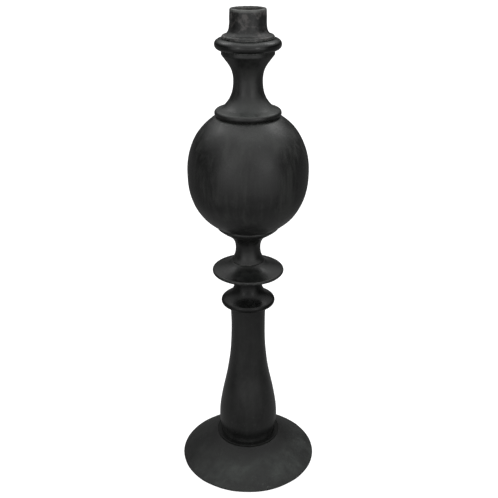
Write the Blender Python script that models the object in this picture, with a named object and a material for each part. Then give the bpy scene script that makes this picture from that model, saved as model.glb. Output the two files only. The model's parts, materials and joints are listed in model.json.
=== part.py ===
"""Bollard light column: a stack of hollow iron castings drawn together by one central tie tube.

The castings are, from the ground up, a conical base, a bulbous column, a thumb ring, a saucer, a
lower neck, a tall ball, an upper neck, a torus capital and an open post-top spigot. Each one drops
its own short spigot into the socket of the casting below, with a rubber ring between the faces. The
tie tube carries the lamp cable from the terminal block in the base to the lampholder inside the
spigot. Outlines are drawn in millimetres as (radius, height) points; the scene is in metres. The
origin is the centre of the foot on the ground, +Z is up.
"""

import math
from collections import namedtuple

import bmesh
import bpy
from mathutils import Matrix, Vector

MM = 0.001

# ---- Driving dimensions ---------------------------------------------------------------------
HEIGHT = 1080.0
BASE_R = 162.0
BALL_R = 131.4
POST_TOP_R = 38.0

# ---- Fits between neighbours ----------------------------------------------------------------
GAP = 0.3
SEAL_T = 1.0
SEAL_INSET = 0.4
STEP = SEAL_T + 2 * GAP
FIT = 0.6
SOCKET_DEPTH = 10.0
SPIGOT_SHORT = 1.5

# ---- Facets ---------------------------------------------------------------------------------
ROUND = 32
SMALL_ROUND = 16
TINY_ROUND = 12

# A joint between two castings: the height of the lower one's top face, its socket's radius and the
# outer radius of that face.
Joint = namedtuple("Joint", "z socket face")
FOOT = Joint(65.6, 52.0, 75.6)
KNOP = Joint(420.6, 35.2, 40.6)
SAUCER = Joint(498.0, 25.2, 33.0)
NECK = Joint(530.6, 24.2, 37.5)
BALL_FOOT = Joint(617.0, 44.0, 69.4)
BALL_HEAD = Joint(861.0, 50.0, 67.0)
CAPITAL = Joint(997.0, 40.0, 54.5)
POST_TOP = Joint(1021.2, 44.5, 54.2)

# ---- Base -----------------------------------------------------------------------------------
BASE_LIFT = 1.0
BASE_RIM_TOP = 4.2
BASE_EDGE_R = 160.3
BASE_EDGE_Z = 5.8
BASE_SHOULDER_R = 77.8
BASE_WALL = 7.0
BASE_RIM_INNER_R = 152.5
WEB_TOP = 44.0
WEB_UNDER = 36.0
WEB_HOLE_R = 30.0
WEB_OUTER_R = 60.0
CONE_SLOPE = (FOOT.z - 0.8 - BASE_EDGE_Z) / (BASE_EDGE_R - BASE_SHOULDER_R)

# ---- Base plate and what stands on it -------------------------------------------------------
PLATE_R = 145.0
PLATE_Z = 2.5
PLATE_T = 4.0
PLATE_TOP = PLATE_Z + PLATE_T
PAD_T = 2.2
PAD_INNER_R = 108.0
PAD_OUTER_R = 143.0
BOSS_CIRCLE_R = 128.0
BOSS_TURN = 45 + 180 / ROUND
BOSS_R = 9.0
PLATE_SCREWS = 4
SCREW_R = 4.0
SCREW_HEAD_R = 7.6
SCREW_LENGTH = 16.0
ANCHORS = 4
ANCHOR_CIRCLE_R = 92.0
ANCHOR_HOLE_R = 6.0
ENTRY_X = -62.0
ENTRY_R = 11.0

# ---- Tie tube and clamp ---------------------------------------------------------------------
TUBE_R = 10.0
TUBE_BORE_R = 8.4
TUBE_BOTTOM = 17.0
TUBE_TOP = 1034.0
NUT_T = 5.0
NUT_FLATS = 27.0
CLAMP_R = 56.0
CLAMP_T = 5.0
SPREADER_R = 31.8
SPREADER_T = 3.0
WASHER_T = 1.6
WASHER_R = 18.0

# The floor inside the post top, which the tie's spreader plate bears on.
POST_TOP_FLOOR = POST_TOP.z - 3.0

# ---- Ball: a superellipse, slightly squarer and taller than a sphere --------------------------
BALL_Z = 737.5
BALL_UP = 140.0
BALL_DOWN = 137.0
BALL_POWER = 2.2
BALL_WALL = 6.0

# ---- Electrical parts -----------------------------------------------------------------------
CABLE_R = 3.4
LEAD_R = 1.6
BLOCK_Y = 82.0
BLOCK_SIZE = (58.0, 20.0, 15.0)
WAYS = 3
WAY_PITCH = 16.0
EARTH_X = 78.0
LAMP_BASE_Z = 1041.0
LAMP_TOP_Z = 1068.0
LAMP_R = 21.0


# ---- Materials ------------------------------------------------------------------------------
def material(name, colour, roughness, metallic):
    made = bpy.data.materials.new(name)
    made.use_nodes = True
    shader = made.node_tree.nodes["Principled BSDF"]
    shader.inputs["Base Color"].default_value = (*colour, 1.0)
    shader.inputs["Roughness"].default_value = roughness
    shader.inputs["Metallic"].default_value = metallic
    return made


# ---- Outlines, as lists of (radius, height) in millimetres ------------------------------------
def arc(centre, size, start, end, steps):
    """Points on an ellipse's arc. size is (half width, half height); angles are in degrees."""
    turns = [math.radians(start + (end - start) * i / steps) for i in range(steps + 1)]
    return [(centre[0] + size[0] * math.cos(t), centre[1] + size[1] * math.sin(t)) for t in turns]


def bezier(p0, p1, p2, p3, steps):
    """Points on a cubic curve, without its first point."""
    points = []
    for i in range(1, steps + 1):
        t = i / steps
        weights = ((1 - t) ** 3, 3 * t * (1 - t) ** 2, 3 * t * t * (1 - t), t**3)
        points.append(
            tuple(sum(w * p[k] for w, p in zip(weights, (p0, p1, p2, p3))) for k in range(2))
        )
    return points


def superellipse(radius, up, down, low_z, high_z, steps):
    """The ball's skin from low_z to high_z, with its points spaced evenly round the curve."""

    def turn(z):
        share = (z - BALL_Z) / (up if z > BALL_Z else down)
        return math.asin(math.copysign(abs(share) ** (BALL_POWER / 2), share))

    points = []
    for i in range(steps + 1):
        t = turn(low_z) + (turn(high_z) - turn(low_z)) * i / steps
        reach = abs(math.sin(t)) ** (2 / BALL_POWER)
        half = up if t > 0 else -down
        points.append((radius * math.cos(t) ** (2 / BALL_POWER), BALL_Z + half * reach))
    return points


def spigot_end(joint, bore):
    """The lower end of a casting: its own spigot, which drops into the socket below."""
    outer = joint.socket - FIT
    low = joint.z - SOCKET_DEPTH + SPIGOT_SHORT
    return [(bore, low), (outer, low), (outer, joint.z + STEP)]


def socket_end(joint):
    """The upper end of a casting: its top face and the socket for the one above."""
    return [(joint.socket, joint.z), (joint.socket, joint.z - SOCKET_DEPTH)]


# ---- Solids ---------------------------------------------------------------------------------
def add_object(name, mesh, made_of):
    obj = bpy.data.objects.new(name, mesh)
    obj.data.materials.append(made_of)
    bpy.context.scene.collection.objects.link(obj)
    return obj


def finish_mesh(bm, name, made_of, sharp=30):
    bmesh.ops.remove_doubles(bm, verts=bm.verts, dist=1e-6)
    bmesh.ops.recalc_face_normals(bm, faces=bm.faces)
    mesh = bpy.data.meshes.new(name)
    bm.to_mesh(mesh)
    bm.free()
    mesh.shade_smooth()
    mesh.set_sharp_from_angle(angle=math.radians(sharp))
    return add_object(name, mesh, made_of)


def turned(name, outline, made_of, sides=ROUND, at=(0.0, 0.0)):
    """A solid of revolution about the vertical line at (x, y), from a closed or pole-to-pole outline."""
    bm = bmesh.new()
    verts = [bm.verts.new((r * MM, 0.0, z * MM)) for r, z in outline]
    closed = min(r for r, z in outline) > 0
    pairs = list(zip(verts, verts[1:] + (verts[:1] if closed else [])))
    edges = [bm.edges.new(pair) for pair in pairs]
    bmesh.ops.spin(
        bm,
        geom=verts + edges,
        axis=(0, 0, 1),
        cent=(0, 0, 0),
        angle=2 * math.pi,
        steps=sides,
        use_merge=True,
    )
    bmesh.ops.translate(bm, verts=bm.verts, vec=(at[0] * MM, at[1] * MM, 0))
    return finish_mesh(bm, name, made_of)


def ring(name, inner, outer, low, high, made_of, sides=ROUND, at=(0.0, 0.0)):
    """A plain washer-shaped solid."""
    outline = [(inner, low), (outer, low), (outer, high), (inner, high)]
    return turned(name, outline, made_of, sides, at)


def prism(name, outline, low, high, made_of, at=(0.0, 0.0), hole=0.0):
    """An outline of (x, y) points raised from low to high, with an optional round hole of as many sides."""
    bm = bmesh.new()
    rims = []
    for level in (low, high):
        rims.append([bm.verts.new(((x + at[0]) * MM, (y + at[1]) * MM, level * MM)) for x, y in outline])
    count = len(outline)
    for i in range(count):
        j = (i + 1) % count
        bm.faces.new((rims[0][i], rims[0][j], rims[1][j], rims[1][i]))
    if hole:
        holes = []
        for level in (low, high):
            round_rim = []
            for x, y in outline:
                way = Vector((x, y)).normalized() * hole
                round_rim.append(bm.verts.new(((way.x + at[0]) * MM, (way.y + at[1]) * MM, level * MM)))
            holes.append(round_rim)
        for i in range(count):
            j = (i + 1) % count
            bm.faces.new((holes[0][j], holes[0][i], holes[1][i], holes[1][j]))
            bm.faces.new((rims[0][j], rims[0][i], holes[0][i], holes[0][j]))
            bm.faces.new((rims[1][i], rims[1][j], holes[1][j], holes[1][i]))
    else:
        bm.faces.new(rims[0][::-1])
        bm.faces.new(rims[1])
    return finish_mesh(bm, name, made_of)


def box_outline(width, depth):
    return [(-width / 2, -depth / 2), (width / 2, -depth / 2), (width / 2, depth / 2), (-width / 2, depth / 2)]


def hexagon(across_flats, points_per_side=2):
    """A hexagon with extra points along its sides, so that a round hole through it stays round."""
    corners = [
        Vector((math.cos(math.radians(60 * k)), math.sin(math.radians(60 * k)))) * across_flats / math.sqrt(3)
        for k in range(6)
    ]
    outline = []
    for a, b in zip(corners, corners[1:] + corners[:1]):
        outline += [tuple(a.lerp(b, i / points_per_side)) for i in range(points_per_side)]
    return outline


def cable(name, points, radius, made_of, sides=2):
    """A round cable through the given (x, y, z) points, rounded at its bends, with closed ends."""
    curve = bpy.data.curves.new(name, "CURVE")
    curve.dimensions = "3D"
    curve.resolution_u = 3
    curve.bevel_depth = radius * MM
    curve.bevel_resolution = sides
    curve.use_fill_caps = True
    spline = curve.splines.new("BEZIER")
    spline.bezier_points.add(len(points) - 1)
    for knot, place in zip(spline.bezier_points, points):
        knot.co = Vector(place) * MM
        knot.handle_left_type = knot.handle_right_type = "AUTO"
    return add_object(name, curve, made_of)


def around(count, radius, first=0.0):
    """(x, y) places evenly spaced on a circle."""
    turns = [math.radians(first + 360 * i / count) for i in range(count)]
    return [(radius * math.cos(t), radius * math.sin(t)) for t in turns]


def joined(target, tool, operation):
    """Applies a Boolean of target with tool, and removes the tool."""
    modifier = target.modifiers.new("Joined", "BOOLEAN")
    modifier.operation = operation
    modifier.object = tool
    bpy.context.view_layer.update()
    graph = bpy.context.evaluated_depsgraph_get()
    mesh = bpy.data.meshes.new_from_object(target.evaluated_get(graph))
    target.modifiers.clear()
    old = target.data
    target.data = mesh
    bpy.data.meshes.remove(old)
    bpy.data.objects.remove(tool)


# ---- Castings -------------------------------------------------------------------------------
def base_cone(r):
    """The height of the base's outer cone at a radius."""
    return BASE_EDGE_Z + (BASE_EDGE_R - r) * CONE_SLOPE


def build_base(iron):
    shoulder_z = FOOT.z - 0.8
    drop = BASE_WALL * math.hypot(1, CONE_SLOPE)
    ceiling = FOOT.z - BASE_WALL - 1.0
    ceiling_r = BASE_EDGE_R - (ceiling + drop - BASE_EDGE_Z) / CONE_SLOPE
    outline = [
        (BASE_RIM_INNER_R, BASE_LIFT),
        (BASE_R - 0.6, BASE_LIFT),
        (BASE_R, BASE_LIFT + 0.6),
        (BASE_R, BASE_RIM_TOP),
        (BASE_EDGE_R, BASE_EDGE_Z),
        (BASE_SHOULDER_R, shoulder_z),
        (BASE_SHOULDER_R - 1.6, FOOT.z),
        *socket_end(FOOT)[:1],
        (FOOT.socket, WEB_TOP),
        (WEB_HOLE_R, WEB_TOP),
        (WEB_HOLE_R, WEB_UNDER),
        (WEB_OUTER_R, WEB_UNDER),
        (WEB_OUTER_R + 6, ceiling),
        (ceiling_r, ceiling),
        (BASE_RIM_INNER_R, base_cone(BASE_RIM_INNER_R) - drop),
    ]
    base = turned("base_casting", outline, iron)
    for x, y in around(PLATE_SCREWS, BOSS_CIRCLE_R, BOSS_TURN):
        low = PLATE_TOP + GAP
        high = base_cone(BOSS_CIRCLE_R + BOSS_R) - 1.2
        boss = [(0, low), (BOSS_R, low), (BOSS_R, high), (0, high)]
        joined(base, turned("boss", boss, iron, SMALL_ROUND, (x, y)), "UNION")
        deep = PLATE_Z + SCREW_LENGTH + 1
        hole = [(0, low - 2), (SCREW_R + GAP, low - 2), (SCREW_R + GAP, deep), (0, deep)]
        joined(base, turned("tapping", hole, iron, TINY_ROUND, (x, y)), "DIFFERENCE")


def build_column(iron):
    foot_z = FOOT.z + STEP
    belly = (69.7, 108.0)
    inflection = (54.5, 216.0)
    waist = (39.4, 370.0)
    outline = [
        *spigot_end(FOOT, 45.0),
        (FOOT.face, foot_z),
        (76.2, foot_z + 0.8),
        (76.2, foot_z + 1.8),
        (75.4, foot_z + 2.4),
        (65.6, foot_z + 2.8),
        (64.8, 78.0),
        *bezier((64.8, 78.0), (65.2, 88.0), (69.7, 95.0), belly, 3),
        *bezier(belly, (69.7, 141.0), (63.6, 176.0), inflection, 5),
        *bezier(inflection, (44.4, 261.0), (39.4, 300.0), waist, 5),
        (KNOP.face, KNOP.z),
        *socket_end(KNOP),
        (31.0, KNOP.z - SOCKET_DEPTH),
        (31.0, 350.0),
        *bezier((31.0, 350.0), (31.5, 300.0), (36.0, 270.0), (46.5, 216.0), 2),
        *bezier((46.5, 216.0), (57.0, 176.0), (62.5, 146.0), (62.5, 108.0), 2),
        (57.0, 82.0),
        (45.0, 73.0),
    ]
    turned("column_casting", outline, iron)


def build_thumb_ring(iron):
    under = KNOP.z + STEP
    rim = (55.5, under + 7.2)
    rim_size = (6.1, 7.0)
    lip = arc(rim, rim_size, -80, 50, 5)
    shoulder = lip[-1]
    bell = bezier(shoulder, (51.4, shoulder[1] + 6.7), (33.5, shoulder[1] + 13.0), (31.2, shoulder[1] + 37.0), 6)
    outline = [
        *spigot_end(KNOP, 27.0),
        (42.0, under),
        *lip,
        *bell,
        (31.2, 486.0),
        (SAUCER.face, SAUCER.z - 1.5),
        (SAUCER.face - 0.5, SAUCER.z),
        *socket_end(SAUCER),
        (20.0, SAUCER.z - SOCKET_DEPTH),
        (20.0, KNOP.z + 30),
        (27.0, KNOP.z + 18),
    ]
    turned("thumb_ring_casting", outline, iron)


def build_saucer(iron):
    under = SAUCER.z + STEP
    rim_r = 4.5
    rim = (81.0 - rim_r, under + 6.2)
    top = (rim[0], rim[1] + rim_r)
    outline = [
        *spigot_end(SAUCER, 18.0),
        (34.0, under),
        (50.0, under + 1.4),
        *arc(rim, (rim_r, rim_r), -90, 90, 5),
        *bezier(top, (60.0, top[1] + 4.5), (45.0, top[1] + 11.0), (NECK.face + 0.5, NECK.z), 4),
        *socket_end(NECK),
        (18.0, NECK.z - SOCKET_DEPTH),
    ]
    turned("saucer_casting", outline, iron)


def build_lower_neck(iron):
    foot_z = NECK.z + STEP
    waist = (27.8, 562.0)
    cup_r = 69.8
    outline = [
        *spigot_end(NECK, 17.0),
        (NECK.face, foot_z),
        *bezier((NECK.face, foot_z), (30.0, 541.5), (27.8, 550.0), waist, 4),
        *bezier(waist, (27.8, 576.5), (33.4, 587.0), (46.0, 595.2), 4),
        *bezier((46.0, 595.2), (52.5, 599.6), (63.5, 606.0), (cup_r - 0.4, 613.0), 3),
        (cup_r, BALL_FOOT.z - 1.4),
        (cup_r - 0.6, BALL_FOOT.z),
        *socket_end(BALL_FOOT),
        (34.0, BALL_FOOT.z - SOCKET_DEPTH),
        (20.0, 590.0),
        (20.0, 540.0),
        (17.0, 535.0),
    ]
    turned("lower_neck_casting", outline, iron)


def build_ball(iron):
    low = BALL_FOOT.z + STEP
    inner = BALL_R - BALL_WALL
    floor_z, roof_z = low + BALL_WALL, BALL_HEAD.z - BALL_WALL
    skin = superellipse(BALL_R, BALL_UP, BALL_DOWN, low, BALL_HEAD.z, 18)
    lining = superellipse(inner, BALL_UP - BALL_WALL, BALL_DOWN - BALL_WALL, floor_z, roof_z, 8)
    bore = BALL_FOOT.socket - FIT - BALL_WALL
    outline = [
        *spigot_end(BALL_FOOT, bore),
        *skin,
        (BALL_HEAD.socket, BALL_HEAD.z),
        (BALL_HEAD.socket, roof_z),
        *lining[::-1],
        (bore, floor_z),
    ]
    turned("ball_casting", outline, iron)


def build_upper_neck(iron):
    under = BALL_HEAD.z + STEP
    bead = (64.6, under + 6.4)
    crease = (55.0, bead[1] + 11.4)
    waist = (30.9, 934.0)
    band_r = 55.5
    band_z = 988.5
    outline = [
        *spigot_end(BALL_HEAD, 43.0),
        (BALL_HEAD.face, under),
        *arc(bead, (6.4, 7.4), -55, 68, 5),
        crease,
        *bezier(crease, (43.0, crease[1] + 10.0), (31.0, 905.0), waist, 5),
        *bezier(waist, (30.9, 962.0), (41.0, 970.0), (band_r - 0.6, band_z), 5),
        (band_r, band_z + 1.0),
        (band_r, CAPITAL.z - 0.8),
        (band_r - 0.8, CAPITAL.z),
        *socket_end(CAPITAL),
        (33.0, CAPITAL.z - SOCKET_DEPTH),
        (23.5, 960.0),
        (23.5, 912.0),
        (43.0, 874.0),
    ]
    turned("upper_neck_casting", outline, iron)


def build_capital(iron):
    under = CAPITAL.z + STEP
    centre = (57.0, (under + POST_TOP.z) / 2)
    half_height = (POST_TOP.z - under) / 2
    bore = CAPITAL.socket - 8.0
    outline = [
        *spigot_end(CAPITAL, bore),
        (54.0, under),
        *arc(centre, (12.3, half_height), -90, 90, 8),
        *socket_end(POST_TOP),
        (bore, POST_TOP.z - SOCKET_DEPTH),
    ]
    turned("capital_casting", outline, iron)


def build_post_top(iron):
    under = POST_TOP.z + STEP
    flange_r = 55.4
    shoulder = (48.2, under + 5.6)
    bore = POST_TOP_R - 4.6
    outline = [
        *spigot_end(POST_TOP, TUBE_R + 1.5),
        (flange_r - 0.4, under),
        (flange_r - 0.6, under + 1.2),
        (flange_r - 1.6, under + 3.8),
        (flange_r - 3.6, shoulder[1]),
        shoulder,
        *bezier(shoulder, (43.5, under + 7.6), (39.2, under + 13.2), (POST_TOP_R + 0.3, 1048.0), 4),
        (POST_TOP_R - 0.3, HEIGHT - 6),
        (POST_TOP_R - 0.9, HEIGHT - 1.4),
        (POST_TOP_R - 2.2, HEIGHT),
        (bore + 0.8, HEIGHT),
        (bore, HEIGHT - 1.0),
        (bore, POST_TOP_FLOOR),
        (TUBE_R + 1.5, POST_TOP_FLOOR),
    ]
    turned("post_top_casting", outline, iron)


# ---- Seals and base closure -----------------------------------------------------------------
def build_seals(rubber):
    joints = {
        "column_foot_seal": FOOT,
        "thumb_ring_seal": KNOP,
        "saucer_seal": SAUCER,
        "lower_neck_seal": NECK,
        "ball_foot_seal": BALL_FOOT,
        "ball_head_seal": BALL_HEAD,
        "capital_seal": CAPITAL,
        "post_top_seal": POST_TOP,
    }
    for name, joint in joints.items():
        low = joint.z + GAP
        ring(name, joint.socket + 1.0, joint.face - SEAL_INSET, low, low + SEAL_T, rubber)


def build_base_plate(steel):
    outline = [(0, PLATE_Z), (PLATE_R, PLATE_Z), (PLATE_R, PLATE_TOP), (0, PLATE_TOP)]
    plate = turned("base_plate", outline, steel)
    past = 2.0
    for x, y in around(PLATE_SCREWS, BOSS_CIRCLE_R, BOSS_TURN):
        head_r = SCREW_HEAD_R + GAP
        shank_r = SCREW_R + GAP
        sink = PLATE_Z + head_r - shank_r
        hole = [(0, PLATE_Z - past), (head_r, PLATE_Z - past), (head_r, PLATE_Z), (shank_r, sink)]
        hole += [(shank_r, PLATE_TOP + past), (0, PLATE_TOP + past)]
        joined(plate, turned("sink", hole, steel, SMALL_ROUND, (x, y)), "DIFFERENCE")
    openings = [(x, y, ANCHOR_HOLE_R) for x, y in around(ANCHORS, ANCHOR_CIRCLE_R, 45)]
    openings.append((ENTRY_X, 0, ENTRY_R))
    for x, y, r in openings:
        hole = [(0, PLATE_Z - past), (r, PLATE_Z - past), (r, PLATE_TOP + past), (0, PLATE_TOP + past)]
        joined(plate, turned("opening", hole, steel, SMALL_ROUND, (x, y)), "DIFFERENCE")


def build_plate_screws(steel):
    low = PLATE_Z + 0.3
    socket_r, socket_depth = 2.6, 2.4
    for number, (x, y) in enumerate(around(PLATE_SCREWS, BOSS_CIRCLE_R, BOSS_TURN), 1):
        outline = [
            (0, low + socket_depth),
            (socket_r, low + socket_depth),
            (socket_r, low),
            (SCREW_HEAD_R - 0.6, low),
            (SCREW_R, low + SCREW_HEAD_R - SCREW_R),
            (SCREW_R, low + SCREW_LENGTH - 1.2),
            (SCREW_R - 1.0, low + SCREW_LENGTH),
            (0, low + SCREW_LENGTH),
        ]
        turned(f"plate_screw_{number}", outline, steel, TINY_ROUND, (x, y))


def build_ground_pad(rubber):
    ring("ground_pad", PAD_INNER_R, PAD_OUTER_R, 0.0, PAD_T, rubber)


# ---- Tie tube, nuts and plates --------------------------------------------------------------
def build_tie(steel):
    ring("tie_tube", TUBE_BORE_R, TUBE_R, TUBE_BOTTOM, TUBE_TOP, steel, SMALL_ROUND)
    clear = TUBE_R + 0.5
    plate_high = WEB_UNDER - GAP
    plate_low = plate_high - CLAMP_T
    ring("bottom_clamp_plate", clear, CLAMP_R, plate_low, plate_high, steel, 24)
    washer_high = plate_low - GAP
    ring("bottom_spring_washer", clear, WASHER_R, washer_high - WASHER_T, washer_high, steel, SMALL_ROUND)
    nut_high = washer_high - WASHER_T - GAP
    nut = hexagon(NUT_FLATS)
    prism("bottom_locknut", nut, nut_high - NUT_T, nut_high, steel, hole=clear)
    spreader_low = POST_TOP_FLOOR + GAP
    spreader_high = spreader_low + SPREADER_T
    ring("top_spreader_plate", clear, SPREADER_R, spreader_low, spreader_high, steel, 24)
    washer_low = spreader_high + GAP
    ring("top_washer", clear, WASHER_R, washer_low, washer_low + WASHER_T, steel, SMALL_ROUND)
    nut_low = washer_low + WASHER_T + GAP
    prism("top_locknut", nut, nut_low, nut_low + NUT_T, steel, hole=clear)


# ---- Lampholder -----------------------------------------------------------------------------
def build_lampholder(brass, porcelain):
    cap = [
        (TUBE_R + GAP, LAMP_BASE_Z - 11.0),
        (13.5, LAMP_BASE_Z - 11.0),
        (13.5, LAMP_BASE_Z - 6.0),
        (19.5, LAMP_BASE_Z - 1.0),
        (LAMP_R, LAMP_BASE_Z + 5.0),
        (LAMP_R - 1.6, LAMP_BASE_Z + 5.0),
        (17.0, LAMP_BASE_Z - 0.4),
        (TUBE_R + GAP, LAMP_BASE_Z - 5.0),
    ]
    turned("lampholder_cap", cap, brass, 24)
    cavity_floor = LAMP_BASE_Z + 10.0
    body = [
        (7.0, LAMP_BASE_Z + 5.3),
        (LAMP_R, LAMP_BASE_Z + 5.3),
        (LAMP_R, LAMP_TOP_Z - 1.5),
        (LAMP_R - 1.5, LAMP_TOP_Z),
        (17.0, LAMP_TOP_Z),
        (15.6, LAMP_TOP_Z - 1.4),
        (15.6, cavity_floor),
        (7.0, cavity_floor),
    ]
    turned("lampholder_body", body, porcelain, 24)
    low, high = cavity_floor + GAP, LAMP_TOP_Z - 3.0
    turns = 3
    steps = turns * 4
    wall, roll, middle = 0.6, 0.7, 14.3
    wave = [
        (middle + roll * math.cos(2 * math.pi * turns * i / steps), low + (high - low) * i / steps)
        for i in range(steps + 1)
    ]
    inner = [(r - wall, z) for r, z in wave[::-1]]
    turned("lampholder_screw_shell", wave + inner, brass, SMALL_ROUND)
    contact = [
        (0, LAMP_BASE_Z + 3.0),
        (2.0, LAMP_BASE_Z + 3.0),
        (2.0, cavity_floor),
        (6.5, cavity_floor + 0.6),
        (6.5, cavity_floor + 1.4),
        (3.0, cavity_floor + 3.6),
        (0, cavity_floor + 3.6),
    ]
    turned("lampholder_contact", contact, brass, TINY_ROUND)


# ---- Wiring in the base ---------------------------------------------------------------------
def build_wiring(black_plastic, grey_plastic, rubber, brass, earth_green):
    low = PLATE_TOP + GAP
    width, depth, height = BLOCK_SIZE
    prism("terminal_block", box_outline(width, depth), low, low + height, black_plastic, (0, BLOCK_Y))
    top = low + height + GAP
    for number in range(1, WAYS + 1):
        x = (number - (WAYS + 1) / 2) * WAY_PITCH
        head = [(0, top), (3.2, top), (3.2, top + 2.0), (2.4, top + 2.6), (0, top + 2.6)]
        turned(f"terminal_screw_{number}", head, brass, TINY_ROUND, (x, BLOCK_Y))
    grommet = [
        (CABLE_R + GAP, PLATE_Z - 0.2),
        (ENTRY_R - GAP, PLATE_Z - 0.2),
        (ENTRY_R - GAP, PLATE_TOP + GAP),
        (ENTRY_R + 2.5, PLATE_TOP + GAP),
        (ENTRY_R + 1.5, PLATE_TOP + 3.0),
        (CABLE_R + 2.0, PLATE_TOP + 5.0),
        (CABLE_R + GAP, PLATE_TOP + 5.0),
    ]
    turned("cable_grommet", grommet, rubber, SMALL_ROUND, (ENTRY_X, 0))
    face_y = BLOCK_Y - depth / 2 - GAP
    wire_z = low + height / 2
    supply = [
        (ENTRY_X, 0, PLATE_Z),
        (ENTRY_X, 0, 13),
        (ENTRY_X, 0, 17),
        (ENTRY_X + 14, 26, 22),
        (-WAY_PITCH, face_y - 12, wire_z),
        (-WAY_PITCH, face_y, wire_z),
    ]
    cable("supply_cable", supply, CABLE_R, grey_plastic)
    lamp = [
        (WAY_PITCH, face_y, wire_z),
        (WAY_PITCH, face_y - 16, wire_z),
        (5, 16, 12.0),
        (0.5, 2, 13.5),
        (0, 0, 26),
        (0, 0, 300),
        (0, 0, 700),
        (0, 0, LAMP_BASE_Z + 1),
    ]
    cable("lamp_cable", lamp, CABLE_R, grey_plastic)
    earth_y = 40.0
    stud = [(0, low), (5.0, low), (5.0, low + 2), (3.0, low + 2), (3.0, low + 15), (2.4, low + 16), (0, low + 16)]
    turned("earth_stud", stud, brass, TINY_ROUND, (EARTH_X, earth_y))
    ring("earth_tag", 3.4, 6.4, low + 2.3, low + 3.5, brass, TINY_ROUND, (EARTH_X, earth_y))
    nut = hexagon(10.0)
    prism("earth_nut", nut, low + 3.8, low + 8.8, brass, (EARTH_X, earth_y), hole=3.4)
    lead_z = low + 4.5
    lead = [
        (width / 2 + GAP + LEAD_R, BLOCK_Y, lead_z + 2),
        (width / 2 + 14, BLOCK_Y - 4, lead_z + 2),
        (EARTH_X - 18, earth_y + 16, lead_z),
        (EARTH_X - 8.5, earth_y + 3, lead_z - 1.0),
    ]
    cable("earth_lead", lead, LEAD_R, earth_green, 1)


# ---- The whole column -----------------------------------------------------------------------
def main():
    for obj in list(bpy.data.objects):
        bpy.data.objects.remove(obj)
    iron = material("black_painted_iron", (0.022, 0.023, 0.023), 0.5, 0.0)
    rubber = material("black_rubber", (0.012, 0.012, 0.012), 0.8, 0.0)
    steel = material("zinc_plated_steel", (0.5, 0.5, 0.48), 0.4, 1.0)
    brass = material("brass", (0.6, 0.42, 0.16), 0.35, 1.0)
    porcelain = material("white_porcelain", (0.8, 0.79, 0.75), 0.25, 0.0)
    black_plastic = material("black_plastic", (0.03, 0.03, 0.03), 0.45, 0.0)
    grey_plastic = material("grey_cable_sheath", (0.25, 0.25, 0.25), 0.55, 0.0)
    earth_green = material("earth_green_sheath", (0.05, 0.3, 0.06), 0.5, 0.0)
    build_base(iron)
    build_column(iron)
    build_thumb_ring(iron)
    build_saucer(iron)
    build_lower_neck(iron)
    build_ball(iron)
    build_upper_neck(iron)
    build_capital(iron)
    build_post_top(iron)
    build_seals(rubber)
    build_base_plate(steel)
    build_plate_screws(steel)
    build_ground_pad(rubber)
    build_tie(steel)
    build_lampholder(brass, porcelain)
    build_wiring(black_plastic, grey_plastic, rubber, brass, earth_green)


main()
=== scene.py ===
"""Looks of the cast bollard light column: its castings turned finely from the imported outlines, painted
black over rough iron, with the fittings in the spigot, the seals and the base closure finished too."""

import json
import math
from typing import NamedTuple

import bpy
import numpy as np
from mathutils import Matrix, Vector, noise


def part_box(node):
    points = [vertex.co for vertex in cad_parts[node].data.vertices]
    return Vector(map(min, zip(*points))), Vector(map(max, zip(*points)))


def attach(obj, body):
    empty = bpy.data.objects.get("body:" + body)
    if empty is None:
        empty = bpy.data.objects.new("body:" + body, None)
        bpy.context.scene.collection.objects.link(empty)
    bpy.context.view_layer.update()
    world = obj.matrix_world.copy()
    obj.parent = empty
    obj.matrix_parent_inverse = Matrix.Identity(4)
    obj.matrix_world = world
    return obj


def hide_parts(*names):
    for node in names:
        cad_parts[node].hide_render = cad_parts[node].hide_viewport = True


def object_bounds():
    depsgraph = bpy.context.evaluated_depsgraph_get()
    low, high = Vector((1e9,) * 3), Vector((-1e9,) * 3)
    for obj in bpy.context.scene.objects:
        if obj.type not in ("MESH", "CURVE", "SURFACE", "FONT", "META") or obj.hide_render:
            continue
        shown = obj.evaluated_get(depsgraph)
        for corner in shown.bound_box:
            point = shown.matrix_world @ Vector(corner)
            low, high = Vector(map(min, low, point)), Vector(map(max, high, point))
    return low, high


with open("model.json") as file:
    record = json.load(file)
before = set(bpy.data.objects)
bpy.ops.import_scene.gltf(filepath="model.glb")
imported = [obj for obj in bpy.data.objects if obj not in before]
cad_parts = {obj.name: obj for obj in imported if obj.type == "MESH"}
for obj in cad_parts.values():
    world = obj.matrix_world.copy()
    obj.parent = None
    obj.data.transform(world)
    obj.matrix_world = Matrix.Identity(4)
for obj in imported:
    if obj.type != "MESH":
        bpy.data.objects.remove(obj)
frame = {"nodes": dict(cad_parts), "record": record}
cad_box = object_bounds()

MM = 0.001

# ---- Resolution of the turned pieces, in millimetres and segments -------------------------------
SEGMENTS = 160
SMALL_SEGMENTS = 96
TUBE_SEGMENTS = 48
OUTER_STEP = 1.5
INNER_STEP = 6.0

# ---- Corners of an outline ----------------------------------------------------------------------
CORNER_TURN = math.radians(41)
CORNER_POINTS = 5
CORNER_SHARE = 0.42

# The bore side of a casting gets the coarser step: a point is inside when it is this much (mm)
# nearer the axis than the widest point within the same band of height.
BAND = 8
INSIDE_BY = 3

# ---- Seams between castings, in millimetres -----------------------------------------------------
SEAM_FILLET = 0.15
SEAM_REACH = 1.2
SEAL_FILL = 0.26
SEAL_FLUSH = 0.37

# ---- The cast surface: how often its lumps and its skin repeat, per millimetre ------------------
LUMP_SCALE = 0.022
SKIN_SCALE = 0.16

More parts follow.
